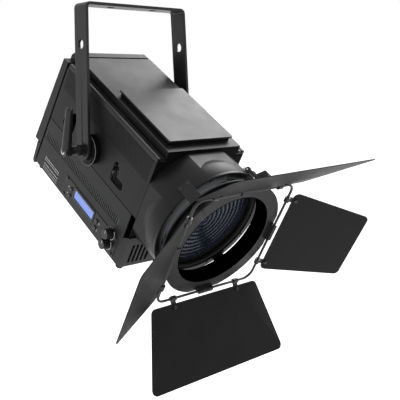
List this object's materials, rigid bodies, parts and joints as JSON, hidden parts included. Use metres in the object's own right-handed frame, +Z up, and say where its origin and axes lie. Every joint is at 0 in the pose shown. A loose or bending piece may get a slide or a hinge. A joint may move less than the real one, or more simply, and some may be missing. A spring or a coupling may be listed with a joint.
{
  "type": "led fresnel theatre spotlight",
  "caption": "Black LED Fresnel theatre spotlight in a flat-bar yoke, with side control panel, rear connector box and a four-leaf barn door on a wire frame.",
  "frame": {"origin": "midway between the two hanging holes, on the top face of the yoke crossbar", "axes": "+Z up; the beam points towards -Y and downwards in the rest pose; the control panel is on the -X side"},
  "size_m": [0.4631, 0.609, 0.5915],
  "materials": {
    "powder_black": "satin",
    "powder_frame": "satin",
    "leaf_black": "matt",
    "door_black": "matt",
    "plastic_black": "matt",
    "panel_black": "satin",
    "button_grey": "matt",
    "rubber_black": "matt",
    "zinc": "satin",
    "black_steel": "satin",
    "lcd_blue": "gloss",
    "lens_glass": "gloss",
    "bare_aluminium": "satin",
    "psu_steel": "satin",
    "led_phosphor": "matt",
    "optic_clear": "gloss",
    "motor_black": "satin",
    "pcb_green": "satin"
  },
  "bodies": {
    "housing": {"tilt_bosses": "plastic_black", "tilt_studs": "zinc", "tilt_bolt_cap": "plastic_black", "side_panels": "powder_black", "roof_panel": "powder_black", "edge_rails": "powder_frame", "top_cover": "powder_black", "cover_spacers": "black_steel", "case_screws": "black_steel", "front_plate": "powder_black", "control_box": "powder_black", "control_panel": "panel_black", "vent_grilles": "black_steel", "lcd_bezel": "plastic_black", "lcd_window": "lcd_blue", "feet": "rubber_black", "rear_seal": "rubber_black", "rear_cover": "powder_black", "rear_box": "powder_black", "power_sockets": "plastic_black", "data_sockets": "zinc", "fuse_holder": "plastic_black", "safety_eye": "zinc", "barrel": "powder_black", "lens": "lens_glass", "lens_ring": "black_steel", "barrel_screws": "black_steel", "holder_clips": "powder_frame", "latch_pin": "zinc", "guide_rods": "zinc", "zoom_motor": "motor_black", "fan_frame": "plastic_black", "power_supply": "psu_steel", "main_board": "pcb_green"},
    "yoke": {"yoke": "powder_frame"},
    "clamp": {"clamp_lever": "plastic_black", "lever_screw": "zinc"},
    "latch": {"latch_clip": "powder_frame"},
    "carriage": {"led_carriage": "bare_aluminium", "heat_sink": "bare_aluminium", "led_module": "led_phosphor", "led_optic": "optic_clear"},
    "screw": {"lead_screw": "zinc"},
    "fan": {"fan_rotor": "plastic_black"},
    "knob_a": {"knob_upper": "plastic_black"},
    "knob_b": {"knob_lower": "plastic_black"},
    "key_up": {"button_up": "button_grey"},
    "key_down": {"button_down": "button_grey"},
    "key_menu": {"button_menu": "button_grey"},
    "key_enter": {"button_enter": "button_grey"},
    "door": {"door_ring": "door_black", "rod_frame": "black_steel"},
    "top_leaf": {"leaf_top": "leaf_black", "hinges_top": "black_steel"},
    "bottom_leaf": {"leaf_bottom": "leaf_black", "hinges_bottom": "black_steel"},
    "near_leaf": {"leaf_near": "leaf_black", "hinges_near": "black_steel"},
    "far_leaf": {"leaf_far": "leaf_black", "hinges_far": "black_steel"}
  },
  "joints": [
    {"name": "tilt", "type": "hinge", "parent": "yoke", "child": "housing", "pos_m": [0, 0, -0.235], "axis": [1, 0, 0], "range_deg": [-75, 57]},
    {"name": "clamp_turn", "type": "hinge", "parent": "housing", "child": "clamp", "pos_m": [0, 0, -0.235], "axis": [1, 0, 0], "range_deg": [-60, 60]},
    {"name": "door_turn", "type": "hinge", "parent": "housing", "child": "door", "pos_m": [0, -0.21554, -0.37126], "axis": [0, 0.8453, 0.5344], "continuous": true},
    {"name": "top_leaf_hinge", "type": "hinge", "parent": "door", "child": "top_leaf", "pos_m": [-0.00262, -0.27488, -0.2905], "axis": [-0.9997, 0.014, -0.0221], "range_deg": [-66, 64]},
    {"name": "bottom_leaf_hinge", "type": "hinge", "parent": "door", "child": "bottom_leaf", "pos_m": [0.00262, -0.16804, -0.4595], "axis": [0.9997, -0.014, 0.0221], "range_deg": [-57, 73]},
    {"name": "near_leaf_hinge", "type": "hinge", "parent": "door", "child": "near_leaf", "pos_m": [-0.09997, -0.22006, -0.37721], "axis": [0.0262, 0.5342, -0.845], "range_deg": [-98, 55]},
    {"name": "far_leaf_hinge", "type": "hinge", "parent": "door", "child": "far_leaf", "pos_m": [0.09997, -0.22286, -0.37279], "axis": [-0.0262, -0.5342, 0.845], "range_deg": [-98, 55]},
    {"name": "latch_hinge", "type": "hinge", "parent": "housing", "child": "latch", "pos_m": [0.05559, -0.22166, -0.26988], "axis": [-0.848, -0.2832, 0.4479], "range_deg": [0, 70], "stiffness_Nm_per_rad": 0.02, "springref_deg": -20.05},
    {"name": "knob_upper_turn", "type": "hinge", "parent": "housing", "child": "knob_a", "pos_m": [-0.096, -0.04351, -0.37016], "axis": [-1, 0, 0], "range_deg": [-150, 150]},
    {"name": "knob_lower_turn", "type": "hinge", "parent": "housing", "child": "knob_b", "pos_m": [-0.096, -0.03202, -0.38834], "axis": [-1, 0, 0], "range_deg": [-150, 150]},
    {"name": "button_up_press", "type": "slide", "parent": "housing", "child": "key_up", "axis": [1, 0, 0], "range_m": [0, 0.0015], "stiffness_N_per_m": 900, "springref_m": -0.0005},
    {"name": "button_down_press", "type": "slide", "parent": "housing", "child": "key_down", "axis": [1, 0, 0], "range_m": [0, 0.0015], "stiffness_N_per_m": 900, "springref_m": -0.0005},
    {"name": "button_menu_press", "type": "slide", "parent": "housing", "child": "key_menu", "axis": [1, 0, 0], "range_m": [0, 0.0015], "stiffness_N_per_m": 900, "springref_m": -0.0005},
    {"name": "button_enter_press", "type": "slide", "parent": "housing", "child": "key_enter", "axis": [1, 0, 0], "range_m": [0, 0.0015], "stiffness_N_per_m": 900, "springref_m": -0.0005},
    {"name": "zoom_slide", "type": "slide", "parent": "housing", "child": "carriage", "axis": [0, -0.8453, -0.5344], "range_m": [-0.016, 0.044]},
    {"name": "zoom_screw_turn", "type": "hinge", "parent": "housing", "child": "screw", "pos_m": [0, 0.02511, -0.27473], "axis": [0, -0.8453, -0.5344], "range_deg": [-300, 810]},
    {"name": "fan_spin", "type": "hinge", "parent": "housing", "child": "fan", "pos_m": [0, 0.07811, -0.17142], "axis": [0, 0.8453, 0.5344], "continuous": true}
  ],
  "couplings": [
    {"joint": "zoom_screw_turn", "follows": "zoom_slide", "rad_per_m": 314.16}
  ]
}
